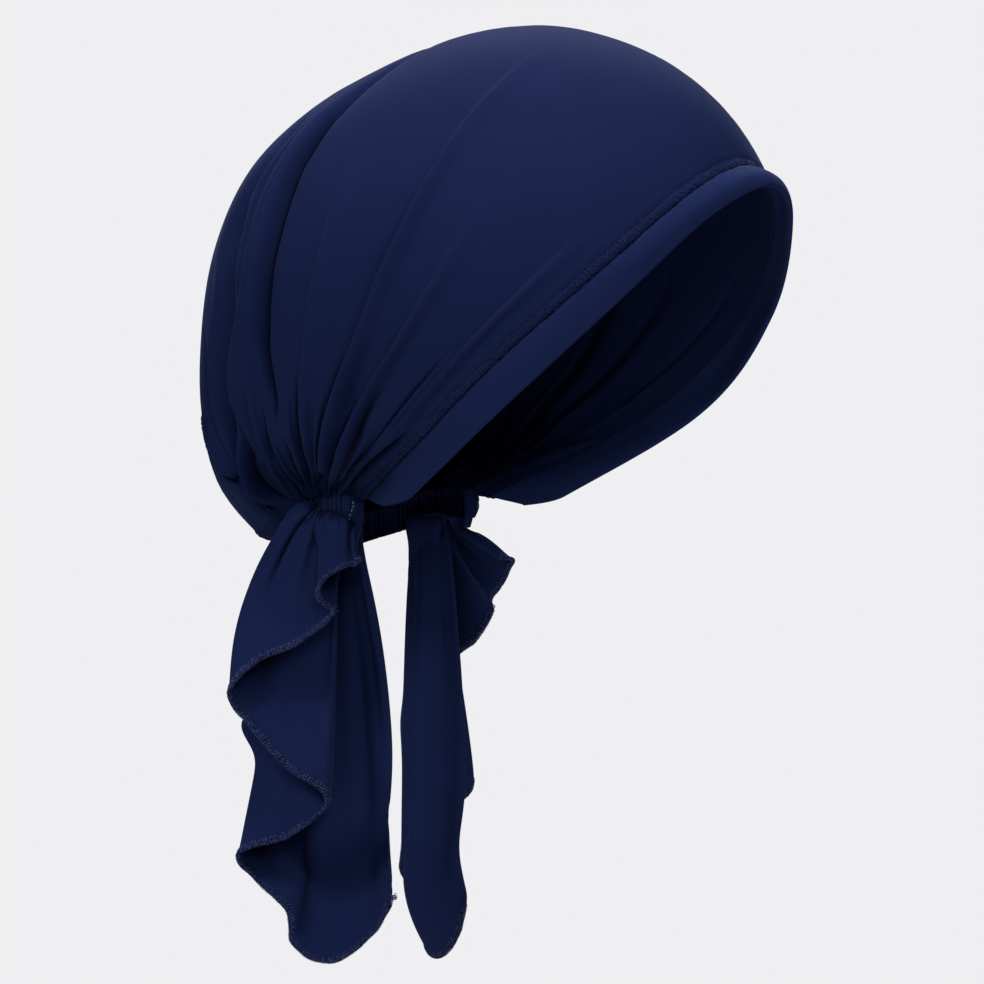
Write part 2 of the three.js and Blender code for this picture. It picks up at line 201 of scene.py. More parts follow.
# Its gathered top: share of the edge below, distances aft, up and out, and how early the cloth
# swings from the one to the other on its way down.
TAIL_TOP_COLUMNS = ("share", "aft", "up", "out", "fullness")
TAIL_TOP = [
    (0, 61, -169.5, 2, 1), (0.017, 60.2, -170, 6.5, 0.6), (0.036, 62.6, -169.5, 10, 1),
    (0.07, 65.5, -168.5, 6.5, 1.2), (0.099, 69.5, -168, 1.5, 1.6), (0.135, 64, -168.5, 4, 1),
    (0.2, 70, -167.5, 1, 1.8), (0.25, 73, -165, 1, 2.5), (0.302, 72.5, -165, -1, 2.5),
    (0.36, 70, -166, 0, 1.9), (0.42, 67, -168, -1, 1), (0.49, 64, -168.5, 1, 0.45),
    (0.56, 68, -168.5, -2, 0.9), (0.632, 73, -168, -4, 1.1), (0.7, 71, -168.5, -4, 0.7),
    (0.74, 69, -168.5, -4, 0.45), (0.78, 68, -168.5, -3, 0.7), (0.815, 66, -168.5, -3, 1.4),
    (0.9, 62.5, -168.5, 1, 2.4), (0.95, 61, -168.5, 4, 3.5), (1, 62, -168.5, -4, 3),
]
TAIL_PUFF = 2.6  # how far a tail's cloth swells just below the casing
# Where a kicked tail leaves its smooth fall: how far, the share of the free edge, and the place down
# the cloth with its half height. The loop is centred on its share, and the heel sets in from it.
TAIL_LOOP = {"aft": 9.5, "share": 0.6, "width": 0.045, "down": 0.62, "reach": 0.07}
TAIL_HEEL = {"aft": 2.4, "share": 0.86, "width": 0.06, "down": 0.84, "reach": 0.15}
TAIL_TUCK = {"inward": 9.0, "down": 0.86, "reach": 0.1}
# The rear panel hangs flat until low down: the share of the edge where it starts, how much sooner
# that is on a kicked tail, and the share it sets in over.
REAR_PANEL = {"share": 0.69, "sooner": 0.125, "width": 0.09}
# Soft folds down a tail: height and half width in millimetres, share of the free edge, and the
# shares of the way down where the fold starts and ends.
TAIL_FOLD_COLUMNS = ("height", "width", "share", "start", "end")
TAIL_FOLDS = [
    (1.2, 4, 0.066, -0.2, 1), (-2.6, 1.7, 0.034, -0.3, 1.2), (1.6, 4, 0.2, -0.3, 0.8),
    (-2, 2.2, 0.238, -0.3, 0.8), (1.5, 2.4, 0.275, -0.2, 0.7), (-2.6, 7, 0.375, -0.1, 1.1),
    (2.4, 7, 0.445, -0.1, 1.2), (-1, 6, 0.6, 0.1, 1.3),
    (-2.4, 7, 0.8, 0.1, 1.2), (2.4, 6, 0.87, 0, 1.1), (-1.6, 4, 0.92, -0.2, 0.8),
]
TAILS = {
    "right": {"side": 1, "spread": 1.0, "length": 1.0, "sweep": 0.935, "kick": 1.0},
    "left": {"side": -1, "spread": 0.93, "length": 1.04, "sweep": 0.925, "kick": 0.3},
}

# ---- cloth and thread -------------------------------------------------------
CROWN_PLY = 0.95
HEM_PLY = 0.7
CASING_PLY = 1.0
TAIL_PLY = 0.9
GATHER_SKIRT = 0.4  # how far the crown's gathered ends hang over the casing
STITCH_GAP = 3.5  # between the two rows of hem stitches
STITCH_PITCH = 1.4  # along a row of hem stitches
OVERLOCK_PITCH = 0.74  # from loop to loop round a tail's edge
OVERLOCK_REACH = 2.1  # of a loop onto the cloth
TACK_INSET = 8.3  # of the elastic's holding stitches from the casing's end

# Rows and columns of each cloth's mesh; the hem's rows are those of its inner and outer ply.
GRID = {"crown": (322, 149), "casing": (24, 1060), "tail": (90, 440)}
HEM_GRID = {"inner": 18, "outer": 30, "along": 760}


# ---- curves and blends ------------------------------------------------------
def ramp(x):
    """Smooth step from 0 to 1 as x goes from 0 to 1."""
    x = np.clip(x, 0, 1)
    return x * x * (3 - 2 * x)


def bump(x):
    """Soft hill of height 1 at x = 0."""
    return np.exp(-x * x)


def unit(vectors):
    return vectors / np.maximum(np.linalg.norm(vectors, axis=-1, keepdims=True), 1e-9)


def columns_of(rows, names, *wanted):
    """The wanted columns of a table whose columns have these names."""
    return np.array([[row[names.index(name)] for name in wanted] for row in rows], float)


def lengths_along(points):
    """Distance along a line of points to each of them."""
    steps = np.linalg.norm(np.diff(points, axis=0), axis=1)
    return np.concatenate([[0], np.cumsum(steps)])


def row_slopes(keys, rows):
    """Slope at each row of a smooth curve through rows at rising keys."""
    last = len(keys) - 1
    low = np.maximum(np.arange(last + 1) - 1, 0)
    high = np.minimum(np.arange(last + 1) + 1, last)
    wide = (slice(None),) + (None,) * (rows.ndim - 1)
    return (rows[high] - rows[low]) / (keys[high] - keys[low])[wide]


def cubic(t, span, start, start_slope, end, end_slope):
    """Smooth way from one row to the next as t goes from 0 to 1."""
    t2, t3 = t * t, t * t * t
    return ((2 * t3 - 3 * t2 + 1) * start + (t3 - 2 * t2 + t) * span * start_slope
            + (3 * t2 - 2 * t3) * end + (t3 - t2) * span * end_slope)


def smooth_rows(keys, rows, at):
    """Smooth curve through rows of numbers at rising keys, read at each number in at."""
    keys, rows, at = np.asarray(keys, float), np.asarray(rows, float), np.asarray(at, float)
    slopes = row_slopes(keys, rows)
    i = np.clip(np.searchsorted(keys, at, side="right") - 1, 0, len(keys) - 2)
    span = keys[i + 1] - keys[i]
    t = np.clip((at - keys[i]) / span, 0, 1)
    shape = t.shape + (1,) * (rows.ndim - 1)
    return cubic(t.reshape(shape), span.reshape(shape), rows[i], slopes[i], rows[i + 1], slopes[i + 1])


def smooth_columns(keys, rows, at):
    """As smooth_rows, with a column of keys to read for each column of the rows."""
    keys = np.asarray(keys, float)
    slopes = row_slopes(keys, rows)
    i = np.clip(np.searchsorted(keys, at, side="right") - 1, 0, len(keys) - 2)
    column = np.broadcast_to(np.arange(at.shape[1]), at.shape)
    span = (keys[i + 1] - keys[i])[..., None]
    t = np.clip((at[..., None] - keys[i][..., None]) / span, 0, 1)
    return cubic(t, span, rows[i, column], slopes[i, column],
                 rows[i + 1, column], slopes[i + 1, column])


def wander(where, pitch, seed):
    """Slow irregular wave from -1 to 1 along where, with features about a pitch long."""
    rng = np.random.default_rng(seed)
    steps = np.asarray(where, float) / pitch
    total = np.zeros_like(steps)
    for rate in (0.37, 0.61, 1.0):
        total += np.sin(2 * math.pi * (rate * steps + rng.random()))
    return total / 3


# ---- cloth surfaces: points in rows and columns -----------------------------
class Surface:
    """The middle of a sheet: rows of points, running along columns, in millimetres."""

    def __init__(self, points):
        self.points = points
        self.measure()

    def measure(self):
        """Works out the ways across the sheet, its outward normals and its lengths."""
        along = np.gradient(self.points, axis=1)
        up = np.gradient(self.points, axis=0)
        self.along, self.up = unit(along), unit(up)
        self.normals = unit(np.cross(along, up))
        column_steps = np.linalg.norm(np.diff(self.points, axis=1), axis=-1)
        row_steps = np.linalg.norm(np.diff(self.points, axis=0), axis=-1)
        self.run = np.pad(np.cumsum(column_steps, axis=1), ((0, 0), (1, 0)))
        self.rise = np.pad(np.cumsum(row_steps, axis=0), ((1, 0), (0, 0)))

    def lift(self, heights):
        """Moves each point out along its normal."""
        self.points = self.points + self.normals * heights[..., None]
        self.measure()
        return self

    def row_at(self, rises):
        """Frames (point, along, up, normal) on each column, where its rise has this value."""
        columns = np.arange(self.points.shape[1])
        below = np.array([np.clip(np.searchsorted(self.rise[:, c], r) - 1, 0, len(self.rise) - 2)
                          for c, r in zip(columns, np.broadcast_to(rises, columns.shape))])
        low, high = self.rise[below, columns], self.rise[below + 1, columns]
        share = ((rises - low) / (high - low))[:, None]
        return [grid[below, columns] * (1 - share) + grid[below + 1, columns] * share
                for grid in (self.points, self.along, self.up, self.normals)]


def form_radius(way):
    """Distance from the centre to the cloth in each unit direction."""
    angles = columns_of(FORM, FORM_COLUMNS, "angle")[:, 0]
    radii = columns_of(FORM, FORM_COLUMNS, "face", "nape", "side")
    angle = np.degrees(np.arccos(np.clip(way[..., 2], -1, 1)))
    flat = np.hypot(way[..., 0], way[..., 1]) + 1e-9
    back, side = way[..., 1] / flat, way[..., 0] / flat
    face, nape, across = np.moveaxis(smooth_rows(angles, radii, angle), -1, 0)
    lengthwise = face + (nape - face) * ramp(0.5 + 0.5 * back)
    return 1 / np.hypot(back / lengthwise, side / across)


def drawn_in(shares, climb):
    """Place on the net of lines of each share of the cloth's width, drawn together at the gathers."""
    table = np.array(DRAWN_IN)
    columns = smooth_rows(table[:, 0], table[:, 1:], climb)
    low = np.clip(np.searchsorted(DRAWN_SHARES, shares, side="right") - 1, 0, len(DRAWN_SHARES) - 2)
    start, end = np.array(DRAWN_SHARES)[low], np.array(DRAWN_SHARES)[low + 1]
    part = ((shares - start) / (end - start))[:, None]
    return columns.T[low] * (1 - part) + columns.T[low + 1] * part


def crown_points(shares, overs):
    """Middle of the crown's cloth: rows by share of its width, columns from right gather to left."""
    quarters = [0, 0.25, 0.5, 0.75, 1, 1.25]
    climb = 1 - np.abs(overs)
    sweeps, across = [], []
    for row in LINES:
        line = dict(zip(LINE_COLUMNS, row))
        beyond = (-line["high"][0], *line["high"][1:])
        path = [line[place] for place in LINE_COLUMNS[1:]]
        sweeps.append(line["sweep"])
        across.append(smooth_rows(quarters, [*path, beyond], climb))
    sweep = drawn_in(shares, climb)
    points = smooth_columns(sweeps, np.array(across), sweep)
    points[..., 0] *= np.where(overs > 0, -1, 1)
    way = points - CENTRE
    reach = np.linalg.norm(way, axis=-1)
    way = way / reach[..., None]
    full = ramp(climb / 0.16)[None, :] * ramp(sweep / 0.06) * ramp((1 - sweep) / 0.035)
    radius = reach + (form_radius(way) - reach) * full
    return CENTRE + way * radius[..., None] + (0, 0, CLOTH_TOP)


def fold_heights(surface, shares, overs):
    """Height of all the folds at each point of the crown."""
    climb = 1 - np.abs(overs)
    total = np.zeros(surface.rise.shape)
    whole = surface.rise[-1]
    drawn = np.clip(whole / (0.75 * whole.max()), 0, 1)
    left = ramp(0.5 + 0.5 * np.clip(overs / 0.1, -1, 1))
    rng = np.random.default_rng(11)
    for row in FOLDS:
        fold = dict(zip(FOLD_COLUMNS, row))
        half = 0.5 * (fold["end"] - fold["start"])
        path = np.array(fold["path"])
        shape = 1 - ramp((climb - fold["start"] - half) / half)
        if fold["start"] > 0:
            shape = shape * ramp((climb - fold["start"]) / 0.07)
        shape = shape * (0.36 + 0.64 * ramp(climb / 0.12))
        tall = LEFT_FOLDS["share"] + LEFT_FOLDS["uneven"] * (rng.random() - 0.5)
        shift = LEFT_FOLDS["shift"] * (rng.random() - 0.5) * 2
        share = np.interp(climb, path[:, 0], path[:, 1]) + shift * left
        height = fold["height"] * (1 - left + tall * left) * shape
        centre = np.array([np.interp(at, shares, column) for at, column in zip(share, surface.rise.T)])
        offset = surface.rise - centre
        width = np.where(offset < 0, fold["face_width"], fold["nape_width"]) * drawn
        place = offset / np.maximum(width, FINEST_FOLD)
        crisp = fold["height"] < 0 and fold["face_width"] < CRISP_WIDTH
        total += height * (1.2 * np.exp(-1.3 * np.abs(place)) if crisp else bump(place))
    return total


def over_stations(count):
    """Places from gather to gather, closer together near the gathers."""
    t = np.linspace(-1, 1, count)
    return 0.45 * t + 0.55 * np.sin(0.5 * math.pi * t)


def share_stations(count):
    """Rows across the crown's width, closer together at the seam and at each fold."""
    fine = np.linspace(HEM_EDGE + 0.0012, 1, 4000)
    density = 1 + 5 * bump((fine - HEM_EDGE) / 0.012)
    for row in FOLDS:
        fold = dict(zip(FOLD_COLUMNS, row))
        for climb, share in fold["path"]:
            density += 0.9 * bump((fine - share) / 0.009) * (2.0 / fold["face_width"])
    total = np.cumsum(density)
    return np.interp(np.linspace(total[0], total[-1], count), total, fine)


def build_crown_surface():
    rows, columns = GRID["crown"]
    shares = share_stations(rows)
    overs = over_stations(columns)
    climb = 1 - np.abs(overs)[None, :]
    crown = Surface(crown_points(shares, overs))
    crown.lift(fold_heights(crown, shares, overs))

    # The cloth is drawn in at the hem seam and again at the second row of stitches.
    away = crown.rise
    free = ramp(climb / 0.03)
    pucker = wander(crown.run, 12.0, 21) * bump(away / 5.0) * 0.25
    seam_dip = -0.45 * bump(away / 0.8) - 0.25 * bump((away - STITCH_GAP) / 0.7)
    crown.lift((pucker + seam_dip) * free)

    # Ruching along the nape edge, where the elastic draws the cloth up.
    edge = crown.rise[-1:, :] - crown.rise
    ripple = np.sin(2 * math.pi * (crown.run[-1:, :] / 4.6 + 0.25 * wander(crown.run[-1:, :], 17, 5)))
    crown.lift(0.75 * ripple * np.exp(-edge / 13.0) * ramp((climb - 0.08) / 0.3) * ramp(edge / 1.0))

    # Fine gathers where the cloth meets the elastic.
    for end, seed in ((0, 61), (-1, 62)):
        across = crown.rise[:, end][:, None]
        from_end = np.abs(crown.run - crown.run[:, end][:, None])
        pleats = np.sin(2 * math.pi * (across / 2.1 + 0.35 * wander(across, 7, seed)))
        crown.lift(0.8 * pleats * np.exp(-((from_end / 7.0) ** 2)) * ramp(across / 6))

    # The gathered ends hang a little way over the casing.
    at_nape = (1 - ramp(edge / 2.5)) * (1 - ramp((climb - 0.1) / 0.3))
    skirt = np.maximum(1 - ramp(climb / 0.012), at_nape)
    crown.points[..., 2] -= GATHER_SKIRT * skirt
    crown.measure()
    return crown


def build_hem_surface():
    """The turned hem: up the inside ply, round the folded edge, and up the outside ply."""
    overs = over_stations(HEM_GRID["along"])
    inner = np.linspace(HEM_EDGE + 0.006, 0.0015, HEM_GRID["inner"])
    outer = np.linspace(0.0015, HEM_EDGE - 0.0004, HEM_GRID["outer"])
    net_shares = np.linspace(0, HEM_EDGE + 0.008, 60)
    base = Surface(crown_points(net_shares, overs))
    points = smooth_rows(net_shares, base.points, np.concatenate([inner, outer]))
    normals = unit(smooth_rows(net_shares, base.normals, np.concatenate([inner, outer])))
    share = np.concatenate([inner, outer])[:, None] / HEM_EDGE
    outside = np.concatenate([np.zeros(len(inner)), np.ones(len(outer))])[:, None]
    seam = np.array([np.interp(HEM_EDGE, net_shares, base.points[:, c, i])
                     for c in range(len(overs)) for i in range(3)]).reshape(1, -1, 3)
    drawn = 0.4 * np.clip(1 - (1 - np.abs(overs)) / 0.035, 0, 1) ** 2
    points += (seam - points) * (drawn[None, :] * (1 - share))[..., None]
    run = base.run[30:31, :]
    from_seam = (1 - share) * HEM_DEPTH
    rounding = np.sqrt(np.clip(1 - (1 - np.clip(share / 0.09, 0, 1)) ** 2, 0, 1))
    half_gap = (0.52 + 0.14 * np.sin(math.pi * np.clip(share, 0, 1))) * rounding + 0.02
    puckers = 0.22 * wander(run, 6.5, 21) * bump(from_seam / 4.0)
    pits = -0.3 * (0.5 + 0.5 * np.cos(2 * math.pi * run / 2.9)) * bump(from_seam / 0.8)
    soft = 0.3 * wander(run, 46.0, 12) * np.sin(math.pi * np.clip(share, 0, 1))
    sunk = 0.3 * bump(from_seam / 0.8) + 0.45 * ramp(share * 1.7 - 0.7)
    heights_out = half_gap + puckers + soft + pits - sunk
    heights_in = -half_gap + soft - 0.45 * ramp((share - 0.8) / 0.2)
    heights = np.where(outside > 0, heights_out, heights_in)
    return Surface(points + normals * heights[..., None])


# ---- casing -----------------------------------------------------------------
def casing_path():
    """Points closely along the casing's top edge, and the distance along it to each."""
    half = np.array(CASING_POINTS, float)
    whole = np.vstack([half, (half[:-1] * (-1, 1, 1))[::-1]])
    keys = lengths_along(whole)
    fine = smooth_rows(keys, whole, np.linspace(0, keys[-1], 2000))
    return fine, lengths_along(fine)


def build_casing_surface():
    fine, length = casing_path()
    rows, columns = GRID["casing"]
    arounds = np.linspace(0, 1, columns)
    centre = np.stack([np.interp(arounds * length[-1], length, fine[:, i]) for i in range(3)], -1)
    along = np.gradient(centre, axis=0)
    outward = unit(np.stack([-along[:, 1], along[:, 0], 0 * along[:, 0]], -1))
    outward *= -1 if outward[len(outward) // 2, 1] < 0 else 1
    ups = np.linspace(0, 1, rows)[:, None]
    from_end = np.minimum(arounds, 1 - arounds)
    ends = ramp((from_end - CASING_ENDS["plain"]) / CASING_ENDS["plain_fade"])
    phase = 0.35 * wander(arounds, 0.05, 9)
    cut = 0.65 + 0.35 * wander(arounds, 0.028, 31)
    lean = 0.25 * np.sin(2 * math.pi * 0.5 * ups) * wander(arounds, 0.02, 17)
    wave = np.abs(np.sin(math.pi * (RUCHE["count"] * arounds + phase + lean))) ** 1.2
    ruche = wave * cut * RUCHE["height"] * ends * (0.75 + 0.25 * np.sin(math.pi * ups))
    belly = 1.3 * np.sin(math.pi * ups) - 0.3 * bump((ups - 0.5) / 0.09)
    across = (ruche + belly - CASING_INSET)[..., None] * outward[None, :, :]
    points = centre[None, :, :] + across
    tab = 1 - ramp((from_end - CASING_ENDS["tab"]) / CASING_ENDS["tab_fade"])
    points[..., 2] -= CASING_SINK + (CASING_HEIGHT + CASING_TAB * tab) * (1 - ups)
    points[..., 2] += CLOTH_TOP
    return Surface(points)


# ---- tails ------------------------------------------------------------------
def tail_points(shares, downs, tail):
    """Smooth fall of a tail's cloth: rows by place down it, columns by share of its free edge."""
    kick = tail["kick"]
    edge = columns_of(TAIL_EDGE, TAIL_EDGE_COLUMNS, "aft", "up", "out")
    top = columns_of(TAIL_TOP, TAIL_TOP_COLUMNS, "aft", "up", "out", "fullness")
    top_shares = columns_of(TAIL_TOP, TAIL_TOP_COLUMNS, "share")[:, 0]
    lengths = lengths_along(edge)
    aft, up, out = np.moveaxis(smooth_rows(lengths / lengths[-1], edge, shares), -1, 0)
    top_aft, top_up, top_out, fullness = np.moveaxis(smooth_rows(top_shares, top, shares), -1, 0)
    down = downs[:, None]
    aft = top_aft + (aft - top_aft) * tail["spread"] * (1 - (1 - down) ** fullness)
    heel = ramp((shares - TAIL_HEEL["share"]) / TAIL_HEEL["width"])
    heel = heel * bump((down - TAIL_HEEL["down"]) / TAIL_HEEL["reach"])
    loop = bump((shares - TAIL_LOOP["share"]) / TAIL_LOOP["width"])
    loop = loop * bump((down - TAIL_LOOP["down"]) / TAIL_LOOP["reach"])
    aft = aft + kick * (TAIL_HEEL["aft"] * heel + TAIL_LOOP["aft"] * loop)
    start = REAR_PANEL["share"] - REAR_PANEL["sooner"] * kick
    rear = ramp((shares - start) / REAR_PANEL["width"])
    early = 0.35 * down + 0.65 * ramp(down * 0.62) / ramp(0.62)
    out = out * (1 - rear * (1 - kick))
    out = top_out + (out - top_out) * (early * (1 - rear) + down ** 14 * rear)
    tuck = bump((down - TAIL_TUCK["down"]) / TAIL_TUCK["reach"])
    out = out - TAIL_TUCK["inward"] * kick * rear * tuck
    x = -aft * math.sin(TAIL_TURN) - out * math.cos(TAIL_TURN)
    y = aft * math.cos(TAIL_TURN) - out * math.sin(TAIL_TURN)
    z = top_up + (up - top_up) * tail["length"] * down
    return np.stack([tail["side"] * x, y, z + CLOTH_TOP], -1)


def build_tail_surface(name):
    tail = TAILS[name]
    rows, columns = GRID["tail"]
    shares = np.linspace(0, tail["sweep"], columns)
    if tail["side"] < 0:
        shares = shares[::-1]
    downs = np.linspace(0, 1, rows) ** 0.9
    surface = Surface(tail_points(shares, downs, tail))
    # Ruching under the casing.
    seed = 40 + tail["side"]
    run = surface.run[:1, :]
    depth = surface.rise
    ruche = np.abs(np.sin(math.pi * (run / 2.6 + 0.3 * wander(run, 9, seed)))) ** 0.8
    ruche = ruche * (0.6 + 0.4 * wander(run, 6, seed + 1)) * 0.9
    tuck = ruche * np.exp(-depth / 6.0)
    # Slow waves down the cloth and a slightly rolled, fluted edge.
    edge = surface.rise[-1:, :] - surface.rise
    edge_run = surface.run[-1:, :]
    flute = 0.4 * wander(edge_run, 9, seed + 2) * np.exp(-edge / 7.0)
    roll = 0.6 * np.exp(-edge / 2.2)
    waves = 0.8 * wander(edge_run, 30, seed + 3) * ramp(depth / 30)
    surface.lift(tuck + flute + roll + waves)
    puff = tail["side"] * TAIL_PUFF * depth / 4.5 * np.exp(1 - depth / 4.5)
    surface.lift(puff * (1 + 0.25 * wander(run, 8, seed + 4)))
    down = surface.rise / surface.rise[-1:, :]
    for row in TAIL_FOLDS:
        fold = dict(zip(TAIL_FOLD_COLUMNS, row))
        place = np.interp(fold["share"], np.sort(shares), np.arange(len(shares)))
        place = int(place if tail["side"] > 0 else len(shares) - 1 - place)
        offset = (surface.run - surface.run[:, place][:, None]) / (0.25 + 0.75 * down)
        half = 0.5 * (fold["end"] - fold["start"])
        shape = ramp((down - fold["start"]) / half) * ramp((fold["end"] - down) / half)
        surface.lift(fold["height"] * tail["side"] * bump(offset / fold["width"]) * shape)
    return surface


# ---- making pieces ----------------------------------------------------------
def deselect_all():
    for obj in bpy.context.selected_objects:
        obj.select_set(False)


def smooth_shading(piece):
    piece.data.polygons.foreach_set("use_smooth", [True] * len(piece.data.polygons))


def cloth_piece(name, surface, thickness):
    """A grid with one cell for each step of the surface, moved onto it and given its thickness."""
    rows, columns = (n - 1 for n in surface.points.shape[:2])
    deselect_all()
    bpy.ops.mesh.primitive_grid_add(x_subdivisions=columns, y_subdivisions=rows, size=1)
    piece = bpy.context.active_object
    piece.name = name
    mesh = piece.data
    places = np.empty(len(mesh.vertices) * 3)
    mesh.vertices.foreach_get("co", places)
    places = places.reshape(-1, 3)
    column = np.rint((places[:, 0] + 0.5) * columns).astype(int)
    row = np.rint((places[:, 1] + 0.5) * rows).astype(int)
    mesh.vertices.foreach_set("co", (surface.points[row, column] * MM).ravel())
    loops = np.empty(len(mesh.loops), int)
    mesh.loops.foreach_get("vertex_index", loops)
    middle = surface.run[:, columns // 2][:, None]
    flat = np.stack([(surface.run - middle)[row, column], surface.rise[row, column]], -1) * MM
    mesh.uv_layers.active.data.foreach_set("uv", flat[loops].ravel())
    mesh.update()
    solid = piece.modifiers.new("ply", "SOLIDIFY")
    solid.thickness = thickness * MM
    solid.offset = 0
    solid.use_even_offset = False
    bpy.ops.object.modifier_apply(modifier=solid.name)
    smooth_shading(piece)
    return piece


def thread_bit(name, route, radii, sides=5):
    """One short bit of thread along a few points, closed at both ends, shaped from a sphere."""
    deselect_all()
    bpy.ops.mesh.primitive_uv_sphere_add(segments=sides, ring_count=len(route) + 1, radius=1)
    bit = bpy.context.active_object
    bit.name = name
    route = np.array(route, float)
    ways = unit(np.gradient(route, axis=0))
    spare = np.array([0.0, 1.0, 0.0]) if abs(ways[0][0]) > 0.8 else np.array([1.0, 0.0, 0.0])
    for vertex in bit.data.vertices:
        polar = math.acos(max(-1, min(1, vertex.co.z)))
        ring = round(polar / math.pi * (len(route) + 1)) - 1
        at = min(max(ring, 0), len(route) - 1)
        first = unit(np.cross(ways[at], spare))
        second = np.cross(ways[at], first)
        turn = math.atan2(vertex.co.y, vertex.co.x)
        width = radii[at] if ring == at else 0
        vertex.co = route[at] + width * (math.cos(turn) * first + math.sin(turn) * second)
    return bit


def stitched_piece(name, bit, frames, grow=None):
    """Copies of a bit of thread, one in each frame, as one piece.

    The bit's X, Y and Z are along, up and out of the cloth; a frame is a point with its along, up
    and out ways. grow gives a size for each copy."""
    origin, along, up, out = (np.asarray(part, float)[:, None, :] for part in frames)
    deselect_all()
    bit.select_set(True)
    bpy.context.view_layer.objects.active = bit
    copies = bit.modifiers.new("copies", "ARRAY")
    copies.count = len(origin)
    copies.use_relative_offset = False
    bpy.ops.object.modifier_apply(modifier=copies.name)
    bit.name = name
    places = np.empty(len(bit.data.vertices) * 3)
    bit.data.vertices.foreach_get("co", places)
    places = places.reshape(len(origin), -1, 3)
    if grow is not None:
        places = places * np.asarray(grow)[:, None, None]
    places = origin + places[..., 0:1] * along + places[..., 1:2] * up + places[..., 2:3] * out
    bit.data.vertices.foreach_set("co", (places * MM).ravel())
    deselect_all()
    bit.select_set(True)
    bpy.ops.object.mode_set(mode="EDIT")
    bpy.ops.mesh.select_all(action="SELECT")
    bpy.ops.mesh.normals_make_consistent(inside=False)
    bpy.ops.object.mode_set(mode="OBJECT")
    smooth_shading(bit)
    return bit


def along_path(path, pitch, start=0.0, end=0.0):
    """Frames at even steps along a path given as (points, along, up, out)."""
    length = lengths_along(path[0])
    stations = np.arange(start + pitch / 2, length[-1] - end, pitch)
    read = [np.stack([np.interp(stations, length, part[:, i]) for i in range(3)], -1)
            for part in path]
    steps = unit(np.gradient(read[0], axis=0))
    out = unit(read[3] - (read[3] * steps).sum(-1, keepdims=True) * steps)
    up = np.cross(out, steps)
    up *= np.sign((up * read[2]).sum())
    return [read[0], steps, up, out]


# ---- materials --------------------------------------------------------------
def new_group(name, inputs, outputs):
    group = bpy.data.node_groups.new(name, "ShaderNodeTree")
    for label, kind, value in inputs:
        socket = group.interface.new_socket(name=label, in_out="INPUT", socket_type=kind)
        socket.default_value = value
    for label, kind in outputs:
        group.interface.new_socket(name=label, in_out="OUTPUT", socket_type=kind)
    return group, group.nodes.new("NodeGroupInput"), group.nodes.new("NodeGroupOutput")


def set_inputs(node, values):
    """Sets a node's sockets by name."""
    for label, value in values.items():
        node.inputs[label].default_value = value


def math_node(tree, operation, first, second=None):
    node = tree.nodes.new("ShaderNodeMath")
    node.operation = operation
    for socket, value in zip(node.inputs, (first, second)):
        if value is None:
            continue
        if isinstance(value, (int, float)):
            socket.default_value = value
        else:
            tree.links.new(value, socket)
    return node.outputs[0]


def mix_colour(tree, factor, first, second):
    node = tree.nodes.new("ShaderNodeMix")
    node.data_type = "RGBA"
    for socket, value in ((node.inputs[0], factor), (node.inputs[6], first), (node.inputs[7], second)):
        if isinstance(value, (int, float, tuple)):
            socket.default_value = value
        else:
            tree.links.new(value, socket)
    return node.outputs[2]


def noise(tree, vector, scale, detail=2.0):
    node = tree.nodes.new("ShaderNodeTexNoise")
    set_inputs(node, {"Scale": scale, "Detail": detail})
    tree.links.new(vector, node.inputs["Vector"])
    return node.outputs["Fac"]


def add_relief(tree, strength, depth, height, normal):
    relief = tree.nodes.new("ShaderNodeBump")
    relief.inputs["Strength"].default_value = strength
    tree.links.new(depth, relief.inputs["Distance"])
    tree.links.new(height, relief.inputs["Height"])
    tree.links.new(relief.outputs[0], normal)


